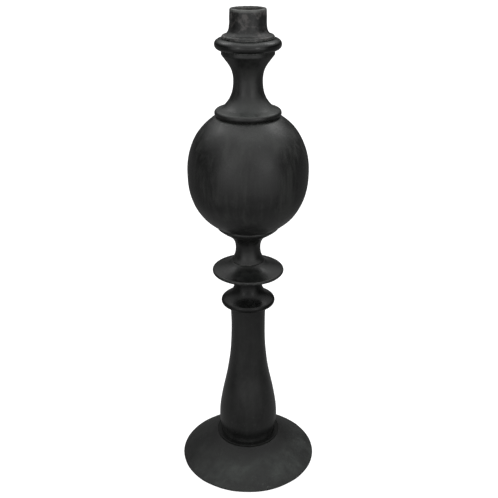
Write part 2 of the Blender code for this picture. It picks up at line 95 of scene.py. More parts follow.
# ---- Screw threads, in millimetres --------------------------------------------------------------
TIE_THREAD_LENGTH = 34.0
TIE_THREAD_PITCH = 1.5
TIE_THREAD_DEPTH = 0.7
TIE_CHAMFER = 0.8
TIE_PLAIN_STEP = 40.0
TIE_THREAD_STEP = 0.3
SHELL_WALL = 0.6
SHELL_PITCH = 3.63
SHELL_WAVE = 1.3
SHELL_ROWS = 60
NUT_BORE_GAP = 0.3
NUT_CHAMFER = 0.8
NUT_CORNER_DROP = 1.1


# ---- Outlines -----------------------------------------------------------------------------------
def cad_outline(node):
    """The closed outline of a turned CAD node as (radius, height) in millimetres, read from the
    mesh edges that lie in the half plane y = 0, x > 0. A flat ring face has no such edge across it,
    so the two loose ends at its height are joined."""
    mesh = frame["nodes"][node].data
    near = 1e-5
    key = {}
    links = {}
    for vertex in mesh.vertices:
        x, y, z = vertex.co
        if abs(y) < near and x > near:
            key[vertex.index] = (round(x / MM, 3), round(z / MM, 3))
    for edge in mesh.edges:
        a, b = (key.get(i) for i in edge.vertices)
        if a and b and a != b:
            links.setdefault(a, set()).add(b)
            links.setdefault(b, set()).add(a)
    ends = sorted((p for p in links if len(links[p]) == 1), key=lambda p: (p[1], p[0]))
    for a, b in zip(ends[::2], ends[1::2]):
        links[a].add(b)
        links[b].add(a)
    start = min(links, key=lambda p: (p[1], p[0]))
    loop = [start]
    ahead = max(links[start], key=lambda p: p[0])
    while ahead != start:
        loop.append(ahead)
        ahead = next(p for p in links[ahead] if p != loop[-2])
    points = np.array(loop)
    following = np.roll(points, -1, 0)
    if (points[:, 0] * following[:, 1] - points[:, 1] * following[:, 0]).sum() < 0:
        loop.reverse()
    return loop


def turns(points, reach=1):
    """The steps back and ahead of each point, over reach points, and the angle between them."""
    points = np.array(points)
    back = points - np.roll(points, reach, 0)
    ahead = np.roll(points, -reach, 0) - points
    cross = back[:, 0] * ahead[:, 1] - back[:, 1] * ahead[:, 0]
    return back, ahead, np.arctan2(cross, (back * ahead).sum(1))


def rounded_corners(points, fillet, seams):
    """The sharp corners of an outline, by their number: where the fillet of each starts and ends."""
    corners = {}
    for i, turn in enumerate(turns(points)[2]):
        if abs(turn) > CORNER_TURN:
            before = points[i - 1] - points[i]
            after = points[(i + 1) % len(points)] - points[i]
            before_length = np.linalg.norm(before)
            after_length = np.linalg.norm(after)
            at_seam = any(low < points[i][1] < high for low, high in seams)
            size = SEAM_FILLET if at_seam else fillet
            reach = min(size, CORNER_SHARE * before_length, CORNER_SHARE * after_length)
            start = points[i] + before / before_length * reach
            end = points[i] + after / after_length * reach
            corners[i] = (start, end)
    return corners


def fine_outline(loop, fillet, outer_step=OUTER_STEP, inner_step=INNER_STEP, seams=()):
    """The outline resampled: corners get a fillet, and the stretches between them a smooth curve.
    Corners at a seam, given as (low, high), stay crisp so that the two castings meet flush."""
    points = [np.array(p) for p in loop]
    count = len(points)
    corners = rounded_corners(points, fillet, seams)
    widest = {}
    for r, z in points:
        widest[round(z / BAND)] = max(widest.get(round(z / BAND), 0), r)

    def arriving(i):
        return corners[i][0] if i in corners else points[i]

    def leaving(i):
        return corners[i][1] if i in corners else points[i]

    fine = []
    for i in range(count):
        j = (i + 1) % count
        if i in corners:
            for step in range(CORNER_POINTS):
                fine.append(bent(arriving(i), points[i], leaving(i), step / CORNER_POINTS))
        a = leaving(i)
        b = arriving(j)
        before = 2 * a - b if i in corners else leaving((i - 1) % count)
        after = 2 * b - a if j in corners else arriving((j + 1) % count)
        middle = (a + b) / 2
        inside = middle[0] < widest.get(round(middle[1] / BAND), 0) - INSIDE_BY
        steps = max(1, math.ceil(np.linalg.norm(b - a) / (inner_step if inside else outer_step)))
        for step in range(steps):
            fine.append(catmull_rom(before, a, b, after, step / steps))
    return np.array(fine)


def bent(start, corner, end, share):
    """A point on the curve that leaves start towards the corner and arrives at end from it."""
    rest = 1 - share
    return rest**2 * start + 2 * share * rest * corner + share * share * end


def catmull_rom(p0, p1, p2, p3, share):
    """A point between p1 and p2 on the centripetal curve through all four."""
    knots = [0.0]
    for p, q in ((p0, p1), (p1, p2), (p2, p3)):
        knots.append(knots[-1] + max(np.linalg.norm(q - p), 1e-6) ** 0.5)
    t0, t1, t2, t3 = knots
    t = t1 + (t2 - t1) * share
    a1 = (p0 * (t1 - t) + p1 * (t - t0)) / (t1 - t0)
    a2 = (p1 * (t2 - t) + p2 * (t - t1)) / (t2 - t1)
    a3 = (p2 * (t3 - t) + p3 * (t - t2)) / (t3 - t2)
    b1 = (a1 * (t2 - t) + a2 * (t - t0)) / (t2 - t0)
    b2 = (a2 * (t3 - t) + a3 * (t - t1)) / (t3 - t1)
    return (b1 * (t2 - t) + b2 * (t - t1)) / (t2 - t1)


def bends(outline):
    """How sharply the outline bends outwards (edge) and inwards (hollow) near each point, 0 to 1."""
    back, ahead, angle = turns(outline, 3)
    span = (np.linalg.norm(back, axis=1) + np.linalg.norm(ahead, axis=1)) / 2
    bend = angle / np.maximum(span, 0.4)
    bend = (bend + np.roll(bend, 1) + np.roll(bend, -1)) / 3
    return np.clip(bend / 0.35, 0, 1), np.clip(-bend / 0.25, 0, 1)


# ---- Solids -------------------------------------------------------------------------------------
def at_angle(angle, r, z):
    """The (x, y, z) points of an outline stood at an angle about Z."""
    return np.stack([r * math.cos(angle), r * math.sin(angle), z], 1)


def plain(angle, outline):
    return at_angle(angle, outline[:, 0], outline[:, 1])


def turned(name, outline, segments, shape=plain):
    """A surface turned about Z from a closed (radius, height) outline in millimetres. shape(angle,
    outline) returns the (x, y, z) points of one segment's outline, in millimetres."""
    outline = np.array(outline, float)
    rows = len(outline)
    verts = np.concatenate([shape(2 * math.pi * k / segments, outline) for k in range(segments)]) * MM
    faces = []
    for k in range(segments):
        here, there = k * rows, ((k + 1) % segments) * rows
        for i in range(rows):
            j = (i + 1) % rows
            faces.append((here + i, there + i, there + j, here + j))
    mesh = bpy.data.meshes.new(name)
    mesh.from_pydata([tuple(v) for v in verts], [], faces)
    mesh.shade_smooth()
    for label, values in zip(("edge", "hollow"), bends(outline)):
        layer = mesh.attributes.new(label, "FLOAT", "POINT")
        layer.data.foreach_set("value", np.tile(values, segments).astype(np.float32))
    piece = bpy.data.objects.new(name, mesh)
    bpy.context.scene.collection.objects.link(piece)
    return piece


def unevenness(seed, lumps, skin):
    """The hand-finished surface of a casting: broad lumps and a finer skin, both in millimetres,
    applied along the outline's normal."""
    shift = Vector((seed * 7.3, seed * 3.1, seed * 5.7))

    def shape(angle, outline):
        ahead = np.roll(outline, -1, 0) - np.roll(outline, 1, 0)
        normal = np.stack([ahead[:, 1], -ahead[:, 0]], 1)
        normal /= np.maximum(np.linalg.norm(normal, axis=1, keepdims=True), 1e-9)
        move = np.empty(len(outline))
        for i, (r, z) in enumerate(outline):
            place = Vector((r * math.cos(angle), r * math.sin(angle), z))
            broad = lumps * noise.noise(place * LUMP_SCALE + shift)
            move[i] = broad + skin * noise.noise(place * SKIN_SCALE + shift)
        return at_angle(angle, outline[:, 0] + normal[:, 0] * move, outline[:, 1] + normal[:, 1] * move)

    return shape


def hexed(across_flats):
    """Cuts an outline down to a hexagon with a corner on the X axis. The outline's own radius shows
    only where it is smaller."""

    def shape(angle, outline):
        off_flat = angle % (math.pi / 3) - math.pi / 6
        limit = across_flats / 2 / math.cos(off_flat)
        return at_angle(angle, np.minimum(outline[:, 0], limit), outline[:, 1])

    return shape


def threaded(low, high, pitch, depth, beyond):
    """A screw thread on every outline point beyond a radius, between two heights."""

    def shape(angle, outline):
        r, z = outline[:, 0], outline[:, 1]
        on = (r > beyond) & (z > low) & (z < high)
        fade = np.clip(np.minimum(z - low, high - z) / pitch, 0, 1)
        wave = 0.5 + 0.5 * np.cos(2 * math.pi * z / pitch - angle)
        return at_angle(angle, np.where(on, r - depth * fade * wave, r), z)

    return shape


def rolled(angle, outline):
    """A thin shell rolled into a lamp's wide round thread."""
    wave = 0.5 + 0.5 * np.cos(2 * math.pi * outline[:, 1] / SHELL_PITCH - angle)
    return at_angle(angle, outline[:, 0] - SHELL_WAVE * wave, outline[:, 1])


# ---- Material helpers ---------------------------------------------------------------------------
class Nodes:
    """Short ways to add and join shader nodes."""

    def __init__(self, tree):
        self.tree = tree

    def add(self, kind, **values):
        node = self.tree.nodes.new(kind)
        for key, value in values.items():
            setattr(node, key, value)
        return node

    def put(self, socket, value):
        """Joins a socket to another one, or sets it to a value."""
        if isinstance(value, bpy.types.NodeSocket):
            self.tree.links.new(value, socket)
        elif isinstance(value, tuple) and len(value) == 3 and socket.type == "RGBA":
            socket.default_value = (*value, 1.0)
        else:
            socket.default_value = value

    def split(self, vector):
        """The x, y and z of a vector."""
        node = self.add("ShaderNodeSeparateXYZ")
        self.tree.links.new(vector, node.inputs["Vector"])
        return [node.outputs[axis] for axis in "XYZ"]

    def place(self, scale=(1.0, 1.0, 1.0), shift=(0.0, 0.0, 0.0)):
        """Where the surface is, in metres, from the column's foot."""
        coordinates = self.add("ShaderNodeTexCoord")
        mapping = self.add("ShaderNodeMapping")
        mapping.inputs["Scale"].default_value = scale
        mapping.inputs["Location"].default_value = shift
        self.tree.links.new(coordinates.outputs["Object"], mapping.inputs["Vector"])
        return mapping.outputs["Vector"]

    def noise(self, scale, detail=4.0, roughness=0.55, vector=None, distortion=0.0):
        node = self.add("ShaderNodeTexNoise")
        node.inputs["Scale"].default_value = scale
        node.inputs["Detail"].default_value = detail
        node.inputs["Roughness"].default_value = roughness
        node.inputs["Distortion"].default_value = distortion
        self.tree.links.new(vector or self.place(), node.inputs["Vector"])
        return node.outputs["Fac"]

    def cells(self, scale):
        node = self.add("ShaderNodeTexVoronoi")
        node.inputs["Scale"].default_value = scale
        self.tree.links.new(self.place(), node.inputs["Vector"])
        return node.outputs["Distance"]

    def ramp(self, value, low, high, out_low=0.0, out_high=1.0):
        """A smooth rise from out_low to out_high as the value goes from low to high."""
        node = self.add("ShaderNodeMapRange", interpolation_type="SMOOTHSTEP")
        for socket, x in zip(list(node.inputs)[:5], (value, low, high, out_low, out_high)):
            self.put(socket, x)
        return node.outputs["Result"]

    def math(self, operation, a, b=0.0, clamp=False):
        node = self.add("ShaderNodeMath", operation=operation, use_clamp=clamp)
        self.put(node.inputs[0], a)
        self.put(node.inputs[1], b)
        return node.outputs["Value"]

    def times(self, a, b):
        """A product kept between 0 and 1."""
        return self.math("MULTIPLY", a, b, True)

    def mix(self, share, a, b):
        """Colour a, with a share of colour b."""
        node = self.add("ShaderNodeMix", data_type="RGBA")
        self.put(node.inputs["Factor"], share)
        self.put(node.inputs[6], a)
        self.put(node.inputs[7], b)
        return node.outputs[2]

    def attribute(self, name):
        return self.add("ShaderNodeAttribute", attribute_name=name).outputs["Fac"]

    def height(self):
        return self.split(self.place())[2]

    def reach(self):
        """The distance from the object's axis."""
        flat = self.place(scale=(1.0, 1.0, 0.0))
        length = self.add("ShaderNodeVectorMath", operation="LENGTH")
        self.tree.links.new(flat, length.inputs[0])
        return length.outputs["Value"]

    def upward(self):
        """How far the surface faces up, 1 when it is level."""
        return self.split(self.add("ShaderNodeNewGeometry").outputs["Normal"])[2]

    def lit_side_dust(self):
        """How much dust shows on a side, as painted light: most at the front right, the lit side, least at
        the back left.
        """
        x, y, _ = self.split(self.place())
        across = self.math("SUBTRACT", self.math("MULTIPLY", x, 0.6), y)
        return self.ramp(across, -0.06, 0.13, 0.12, 1.0)

    def bump(self, height, strength, distance, under=None):
        node = self.add("ShaderNodeBump")
        node.inputs["Strength"].default_value = strength
        node.inputs["Distance"].default_value = distance
        self.tree.links.new(height, node.inputs["Height"])
        if under is not None:
            self.tree.links.new(under, node.inputs["Normal"])
        return node.outputs["Normal"]


class Look(Nodes):
    """A material built round one Principled shader."""

    SOCKETS = {
        "colour": "Base Color",
        "roughness": "Roughness",
        "metallic": "Metallic",
        "normal": "Normal",
        "specular": "Specular IOR Level",
        "coat": "Coat Weight",
    }

    def __init__(self, name):
        self.material = bpy.data.materials.new(name)
        self.material.use_nodes = True
        super().__init__(self.material.node_tree)
        self.shader = self.tree.nodes["Principled BSDF"]

    def set(self, **values):
        for key, value in values.items():
            self.put(self.shader.inputs[self.SOCKETS[key]], value)
        return self.material


# ---- Black paint --------------------------------------------------------------------------------
BLACK_DEEP = (0.003, 0.0032, 0.0031)
BLACK_FADED = (0.0085, 0.0089, 0.0086)
BLACK_MOTTLED = (0.022, 0.0225, 0.0215)
RAIN_WASHED = (0.032, 0.0335, 0.031)
DUST = (0.07, 0.0775, 0.0725)
THIN_PAINT = (0.075, 0.069, 0.067)
RUBBED_EDGE = (0.13, 0.134, 0.128)
CHIP = (0.1, 0.108, 0.1)
HOLLOW_DARK = (0.005, 0.005, 0.005)

DULL_SPECULAR = 0.08
DULL_FADE = 2.0 * MM
RIM_FADE = 4.0 * MM
PAINTED_SHADE_FADE = 45.0 * MM


class Paint(NamedTuple):
    """How one casting's paint differs: amounts from 0 to 1 of rain streaks, rough iron showing through,
    chips and thin patches; the lowest roughness; amounts of settled dust and of rubbing along edges; the
    shine; and in metres, the height above which it is rubbed bare, the distance from the axis within
    which the dust is left out as a painted shade near the column, and the height below which it is dull."""

    streaks: float = 0.5
    rough_skin: float = 0.3
    chips: float = 0.2
    patches: float = 0.0
    matte: float = 0.2
    dust: float = 0.15
    wear: float = 0.5
    specular: float = 0.5
    bare_above: float = None
    shade_within: float = None
    dull_below: float = None


def rain_wash(n, shift, clouds, paint):
    """Upright streaks, broad and fine, strongest where the paint has faded."""
    tall = n.place(scale=(1.0, 1.0, 0.09), shift=(shift, 0.0, shift))
    broad = n.ramp(n.noise(40.0, 4.0, 0.6, tall), 0.46, 0.66)
    fine = n.ramp(n.noise(130.0, 3.0, 0.6, tall), 0.5, 0.72)
    wash = n.times(n.math("ADD", broad, n.times(fine, 0.6)), paint.streaks)
    return n.times(wash, n.ramp(clouds, 0.3, 0.6))


def settled_dust(n, place, mottle, paint):
    """Blotchy dust on faces that look up. On the base, water stains thin it. It shows most on the lit front
    right side as painted light, and it is left out near the column as painted shade.
    """
    settled = n.times(n.ramp(n.upward(), 0.2, 0.9), n.ramp(mottle, 0.2, 0.7, 0.45, 1.0))
    settled = n.times(settled, n.ramp(n.noise(13.0, 4.0, 0.6, place, 0.6), 0.33, 0.62, 0.35, 1.0))
    if paint.shade_within:
        # Painted light: the dust shows most on the lit front right side and least at the back left.
        settled = n.times(settled, n.lit_side_dust())
        # Painted shade: the lighter dust is left out near the column, where the column shades the base.
        unshaded = n.ramp(n.reach(), paint.shade_within, paint.shade_within + PAINTED_SHADE_FADE, 0.0, 1.0)
        settled = n.times(settled, unshaded)
        stain = n.ramp(n.noise(19.0, 6.0, 0.62, place, 0.5), 0.4, 0.64)
        settled = n.times(settled, n.ramp(stain, 0.0, 1.0, 1.0, 0.55))
    return settled


def rubbed(n, place, mottle, paint):
    """Broken wear along sharp edges, and all round a rim above a height."""
    broken = n.ramp(n.noise(130.0, 4.0, 0.7, place), 0.42, 0.6)
    worn = n.times(n.ramp(n.attribute("edge"), 0.35, 1.0), broken)
    if paint.bare_above:
        rim = n.ramp(n.height(), paint.bare_above, paint.bare_above + RIM_FADE)
        worn = n.math("MAXIMUM", worn, n.times(rim, n.ramp(mottle, 0.3, 0.6, 0.5, 1.0)))
    return worn


def chips(n, place, paint):
    """Small specks, in groups."""
    spots = n.ramp(n.noise(190.0, 3.0, 0.6, place), 0.6, 0.7)
    groups = n.ramp(n.noise(17.0, 3.0, 0.6, place), 0.5, 0.66)
    return n.times(n.times(spots, groups), paint.chips)


def rough_iron(n, place, chipped, paint):
    """The normal of paint over a sand-cast skin, coarse and fine, with chips a little proud."""
    normal = n.bump(n.noise(210.0, 3.0, 0.5, place), 0.5 * paint.rough_skin, 0.0006)
    normal = n.bump(n.noise(620.0, 3.0, 0.6, place), 0.7 * paint.rough_skin, 0.00025, normal)
    return n.bump(chipped, 0.4, 0.0003, normal)


def black_paint(name, shift, paint):
    """Old satin black paint on cast iron: cloudy, rain-streaked, dusty on top, rubbed thin along edges."""
    n = Look(name)
    place = n.place(shift=(shift, shift * 0.7, shift * 0.3))
    clouds = n.noise(9.0, 5.0, 0.6, place, 0.4)
    mottle = n.noise(55.0, 6.0, 0.65, place)
    wash = rain_wash(n, shift, clouds, paint)
    settled = settled_dust(n, place, mottle, paint)
    chipped = chips(n, place, paint)
    # Darker in the outline's hollows.
    hollow_dark = n.times(n.attribute("hollow"), n.ramp(mottle, 0.2, 0.6))

    colour = n.mix(n.ramp(clouds, 0.32, 0.7), BLACK_DEEP, BLACK_FADED)
    colour = n.mix(n.times(n.ramp(mottle, 0.45, 0.8), 0.3), colour, BLACK_MOTTLED)
    colour = n.mix(n.times(wash, 0.6), colour, RAIN_WASHED)
    colour = n.mix(n.times(settled, paint.dust), colour, DUST)
    if paint.patches:
        thin = n.ramp(n.noise(48.0, 5.0, 0.62, place, 0.25), 0.48, 0.64)
        colour = n.mix(n.times(thin, paint.patches), colour, THIN_PAINT)
    colour = n.mix(n.times(rubbed(n, place, mottle, paint), paint.wear), colour, RUBBED_EDGE)
    colour = n.mix(chipped, colour, CHIP)
    colour = n.mix(n.times(hollow_dark, 0.7), colour, HOLLOW_DARK)

    roughness = n.ramp(clouds, 0.3, 0.7, paint.matte, paint.matte + 0.1)
    duller = ((0.16, wash), (0.3 * paint.dust, settled), (0.15, hollow_dark), (0.12, n.ramp(mottle, 0.45, 0.75)))
    for share, cause in duller:
        roughness = n.math("ADD", roughness, n.times(cause, share), True)
    specular = paint.specular
    if paint.dull_below:
        edge = paint.dull_below
        specular = n.ramp(n.height(), edge - DULL_FADE, edge, DULL_SPECULAR, specular)
    normal = rough_iron(n, place, chipped, paint)
    return n.set(colour=colour, roughness=roughness, normal=normal, specular=specular)


# ---- Other materials ----------------------------------------------------------------------------
def rubber():
    """Black rubber with a grey bloom."""
    n = Look("black_rubber_look")
    bloom = n.noise(80.0, 5.0, 0.6)
    colour = n.mix(n.ramp(bloom, 0.4, 0.75), (0.008, 0.008, 0.008), (0.022, 0.022, 0.021))
    normal = n.bump(n.noise(900.0, 2.0), 0.25, 0.0002)
    return n.set(colour=colour, roughness=n.ramp(bloom, 0.3, 0.7, 0.62, 0.85), normal=normal)


def zinc():
    """Zinc-plated steel: faint spangle, dull patches, darker and browner in its hollows."""
    n = Look("zinc_steel_look")
    spangle = n.cells(160.0)
    patches = n.noise(22.0, 5.0, 0.6)
    colour = n.mix(n.ramp(patches, 0.35, 0.7), (0.42, 0.42, 0.4), (0.56, 0.56, 0.53))
    colour = n.mix(n.math("MULTIPLY", n.attribute("hollow"), 0.5), colour, (0.16, 0.15, 0.13))
    roughness = n.math("ADD", n.ramp(patches, 0.3, 0.7, 0.3, 0.48), n.math("MULTIPLY", spangle, 0.12))
    normal = n.bump(n.noise(700.0, 2.0), 0.12, 0.0002)
    return n.set(colour=colour, roughness=roughness, metallic=1.0, normal=normal)


def brass():
    """Brass, tarnished brown in patches."""
    n = Look("brass_look")
    tarnish = n.noise(60.0, 5.0, 0.65)
    colour = n.mix(n.ramp(tarnish, 0.4, 0.72), (0.66, 0.46, 0.18), (0.3, 0.19, 0.075))
    roughness = n.ramp(tarnish, 0.3, 0.75, 0.24, 0.5)
    normal = n.bump(n.noise(500.0, 2.0), 0.1, 0.0002)
    return n.set(colour=colour, roughness=roughness, metallic=1.0, normal=normal)


def porcelain():
    """Glazed white porcelain with brown specks."""
    n = Look("porcelain_look")
    tone = n.noise(40.0, 3.0)
    colour = n.mix(n.ramp(tone, 0.35, 0.7), (0.76, 0.75, 0.7), (0.84, 0.83, 0.79))
    specks = n.ramp(n.cells(420.0), 0.09, 0.05)
    colour = n.mix(n.math("MULTIPLY", specks, 0.5), colour, (0.35, 0.31, 0.26))
    normal = n.bump(n.noise(90.0, 2.0), 0.12, 0.0004)
    return n.set(colour=colour, roughness=n.ramp(tone, 0.3, 0.7, 0.14, 0.24), normal=normal, coat=0.5)


def plastic(name, dark, light, grain):
    """Moulded plastic between two tones, with a fine grain."""
    n = Look(name)
    tone = n.noise(70.0, 4.0)
    colour = n.mix(n.ramp(tone, 0.35, 0.7), dark, light)
    normal = n.bump(n.noise(grain, 2.0), 0.25, 0.0002)
    return n.set(colour=colour, roughness=n.ramp(tone, 0.3, 0.7, 0.42, 0.58), normal=normal)


# ---- Dressing -----------------------------------------------------------------------------------
def dress(piece, node, look, slot):
    """piece stands for a CAD node: it rides on the one body and wears a look; its slot is not used."""
    piece.data.materials.clear()
    piece.data.materials.append(look)
    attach(piece, "root")
    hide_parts(node)


def repaint(node, look):
    """A CAD node that stays on show gets a detailed material."""
    obj = frame["nodes"][node]
    obj.data.materials.clear()
    obj.data.materials.append(look)


def box_mm(node):
    """A node's lowest and highest corners in millimetres."""
    low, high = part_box(node)
    return low / MM, high / MM


# ---- Castings -----------------------------------------------------------------------------------
# On the base the dust is left out within 8 cm of the axis, a painted shade round the column's foot.
BASE_PAINT = Paint(
    streaks=0.3, rough_skin=0.6, chips=0.5, matte=0.5, dust=0.7, wear=0.3, specular=0.35, shade_within=0.08
)
COLUMN_PAINT = Paint(streaks=0.25, chips=0.25, matte=0.26, dust=0.0, wear=0.05, dull_below=0.0725)
BELL_PAINT = Paint(streaks=0.1, rough_skin=0.2, chips=0.0, dust=0.0, wear=0.1, specular=0.26)
SAUCER_PAINT = Paint(streaks=0.2, matte=0.26, dust=0.12, specular=0.42)
LOWER_NECK_PAINT = Paint(streaks=0.3, chips=0.1, matte=0.24, dust=0.0, wear=0.05)
BALL_PAINT = Paint(streaks=0.9, chips=0.15, matte=0.28, dust=0.22, wear=0.1)
UPPER_NECK_PAINT = Paint(streaks=0.6, matte=0.24, dust=0.6)
CAPITAL_PAINT = Paint(streaks=0.2, rough_skin=0.2, matte=0.12, dust=0.35)
POST_TOP_PAINT = Paint(
    rough_skin=0.9, chips=0.6, patches=0.85, matte=0.3, dust=0.35, wear=0.8, bare_above=1.073
)
SEAL_PAINT = Paint(streaks=0.1, chips=0.0, dust=0.0)
SEAL_PAINT_SHIFT = 31.0
PAINT_SHIFT = 1.7


class Casting(NamedTuple):
    """The fillet of a casting's corners, its broad lumps and its finer skin in millimetres, and its paint."""

    fillet: float
    lumps: float
    skin: float
    paint: Paint


CASTINGS = {
    "base_casting": Casting(0.8, 0.6, 0.12, BASE_PAINT),
    "column_casting": Casting(0.6, 0.5, 0.08, COLUMN_PAINT),
    "thumb_ring_casting": Casting(1.0, 0.25, 0.05, BELL_PAINT),
    "saucer_casting": Casting(1.2, 0.25, 0.06, SAUCER_PAINT),
    "lower_neck_casting": Casting(1.0, 0.25, 0.06, LOWER_NECK_PAINT),
    "ball_casting": Casting(0.8, 0.8, 0.08, BALL_PAINT),
    "upper_neck_casting": Casting(0.7, 0.35, 0.1, UPPER_NECK_PAINT),
    "capital_casting": Casting(1.0, 0.3, 0.06, CAPITAL_PAINT),
    "post_top_casting": Casting(1.0, 0.5, 0.35, POST_TOP_PAINT),
}

# Two seals show as dark rubber lines; the others are painted over with the castings.
OPEN_SEALS = ("column_foot_seal", "ball_head_seal")
PAINTED_SEALS = (
    "thumb_ring_seal",
    "saucer_seal",
    "lower_neck_seal",
    "ball_foot_seal",
    "capital_seal",
    "post_top_seal",
)


def seam(seal):
    """The heights, in millimetres, between which a painted seal and its castings' faces lie."""
    low, high = box_mm(seal)
    return low.z - SEAM_REACH, high.z + SEAM_REACH


def build_castings():
    seams = [seam(seal) for seal in PAINTED_SEALS]
    for number, (node, casting) in enumerate(CASTINGS.items(), 1):
        outline = fine_outline(cad_outline(node), casting.fillet, seams=seams)
        surface = unevenness(number, casting.lumps, casting.skin)
        piece = turned(node.replace("_casting", "_cast"), outline, SEGMENTS, surface)
        paint = black_paint(f"{node}_paint", number * PAINT_SHIFT, casting.paint)
        dress(piece, node, paint, "black_painted_iron")


def build_open_seals(rubber_look):
    for node in OPEN_SEALS:
        outline = fine_outline(cad_outline(node), fillet=0.3, outer_step=1.0, inner_step=3.0)
        dress(turned(f"{node}_ring", outline, SEGMENTS), node, rubber_look, "black_rubber")


def build_painted_seals():
    """Seals that the paint bridges: each fills its seam, flush with the castings' outside."""
    look = black_paint("painted_seal_look", SEAL_PAINT_SHIFT, SEAL_PAINT)
    for node in PAINTED_SEALS:
        loop = cad_outline(node)
        middle = sum(z for r, z in loop) / len(loop)
        outside = max(r for r, z in loop) - 1
        filled = []
        for r, z in loop:
            wider = SEAL_FLUSH if r > outside else 0.0
            filled.append((r + wider, z + math.copysign(SEAL_FILL, z - middle)))
        outline = fine_outline(filled, fillet=0.1, outer_step=1.0, inner_step=3.0)
        dress(turned(f"{node}_painted_ring", outline, SEGMENTS), node, look, "black_rubber")


# ---- Fittings -----------------------------------------------------------------------------------
def build_tie_tube(look):
    """The tube that draws the castings together, threaded at the end that shows down the spigot."""
    loop = cad_outline("tie_tube")
    outer, top = (max(p[axis] for p in loop) for axis in (0, 1))
    inner, bottom = (min(p[axis] for p in loop) for axis in (0, 1))
    thread_start = top - TIE_THREAD_LENGTH
    plain_part = np.arange(bottom + TIE_CHAMFER, thread_start, TIE_PLAIN_STEP)
    thread_part = np.arange(thread_start, top - TIE_CHAMFER, TIE_THREAD_STEP)
    outline = [(inner, bottom), (outer - TIE_CHAMFER, bottom)]
    outline += [(outer, z) for z in (*plain_part, *thread_part)]
    outline += [(outer - TIE_CHAMFER, top), (inner, top)]
    thread = threaded(thread_start, top - 0.5, TIE_THREAD_PITCH, TIE_THREAD_DEPTH, outer - 0.2)
    dress(turned("tie_tube_steel", outline, TUBE_SEGMENTS, thread), "tie_tube", look, "zinc_plated_steel")
    return outer


def build_lampholder(brass_look, porcelain_look):
    """The porcelain body, its brass cap, and the rolled brass shell that a lamp screws into."""
    parts = (
        ("lampholder_body", 1.2, porcelain_look, "white_porcelain"),
        ("lampholder_cap", 0.5, brass_look, "brass"),
    )
    for node, fillet, look, slot in parts:
        outline = fine_outline(cad_outline(node), fillet, outer_step=0.8, inner_step=2.0)
        dress(turned(f"{node}_fine", outline, SMALL_SEGMENTS), node, look, slot)
    low, high = box_mm("lampholder_screw_shell")
    heights = np.linspace(low.z, high.z, SHELL_ROWS)
    shell = [(high.x, z) for z in heights] + [(high.x - SHELL_WALL, z) for z in heights[::-1]]
    piece = turned("lampholder_shell_rolled", shell, SMALL_SEGMENTS, rolled)
    dress(piece, "lampholder_screw_shell", brass_look, "brass")


def build_locknuts(look, thread_radius):
    """The tie's two hexagonal nuts, chamfered outside and at the bore."""
    bore = thread_radius + NUT_BORE_GAP
    mouth = bore + NUT_CHAMFER
    for node in ("top_locknut", "bottom_locknut"):
        low, high = box_mm(node)
        corner, flats = high.x, high.y - low.y
        outside = [
            (flats / 2, low.z),
            (corner, low.z + NUT_CORNER_DROP),
            (corner, high.z - NUT_CORNER_DROP),
            (flats / 2, high.z),
        ]
        inside = [(mouth, high.z), (bore, high.z - NUT_CHAMFER), (bore, low.z + NUT_CHAMFER)]
        loop = [(mouth, low.z), *outside, *inside]
        outline = fine_outline(loop, fillet=0.25, outer_step=0.5, inner_step=1.0)
        dress(turned(f"{node}_hex", outline, SMALL_SEGMENTS, hexed(flats)), node, look, "zinc_plated_steel")


def build_plates(look):
    for node in ("top_washer", "top_spreader_plate", "bottom_clamp_plate"):
        outline = fine_outline(cad_outline(node), fillet=0.4, outer_step=1.0, inner_step=3.0)
        dress(turned(f"{node}_fine", outline, SMALL_SEGMENTS), node, look, "zinc_plated_steel")


def build_object():
    looks = {
        "black_rubber": rubber(),
        "zinc_plated_steel": zinc(),
        "brass": brass(),
        "white_porcelain": porcelain(),
        "black_plastic": plastic("black_plastic_look", (0.02, 0.02, 0.02), (0.034, 0.034, 0.034), 520.0),
        "grey_cable_sheath": plastic("grey_sheath_look", (0.2, 0.2, 0.2), (0.27, 0.27, 0.265), 300.0),
        "earth_green_sheath": plastic("earth_sheath_look", (0.04, 0.25, 0.05), (0.07, 0.34, 0.07), 300.0),
    }
    build_castings()
    build_open_seals(looks["black_rubber"])
    build_painted_seals()
    tie_radius = build_tie_tube(looks["zinc_plated_steel"])
    build_lampholder(looks["brass"], looks["white_porcelain"])
    build_locknuts(looks["zinc_plated_steel"], tie_radius)
    build_plates(looks["zinc_plated_steel"])
    for subpart in frame["record"]["subparts"]:
        if not frame["nodes"][subpart["node"]].hide_render:
            repaint(subpart["node"], looks[subpart["material_slot"]])


# ---- Studio -------------------------------------------------------------------------------------
# What the object sees of the studio: how bright the lit side behind the camera, the other sides,
# the upper walls, the ceiling and the near floor are.
FRONT_LEVEL = 0.85
SIDE_LEVEL = 0.04
UPPER_LEVEL = 1.0
CEILING_EXTRA = 0.25
FLOOR_NEAR = 0.16

# Where the lit side is: full within the first angle of the camera's side, nothing beyond the second.
# Within DIP_END of straight on, a share of it, the camera's own shadow, is left out.
LOBE_FULL = math.radians(38)
LOBE_END = math.radians(76)
DIP_START = 0.02
DIP_END = 0.3
DIP_LEVEL = 0.7

# How steeply (0 level, 1 straight up) the sides turn into the upper walls, and where the ceiling starts.
WALL_START = 0.2
WALL_END = 0.74
CEILING_START = 0.8

# What the camera sees of it.
FLOOR_GLOW = 0.86
BACKDROP_GLOW = 1.0

FLOOR_HALF = 40.0
FLOOR_NEAR_EDGE = 0.35
FLOOR_SIDE_END = 1.3
FLOOR_FRONT_END = 4.5


class SoftLight(NamedTuple):
    """An area light: its place, its target, and its width and height in metres, and its power in watts."""

    name: str
    place: tuple
    target: tuple
    size: tuple
    power: float


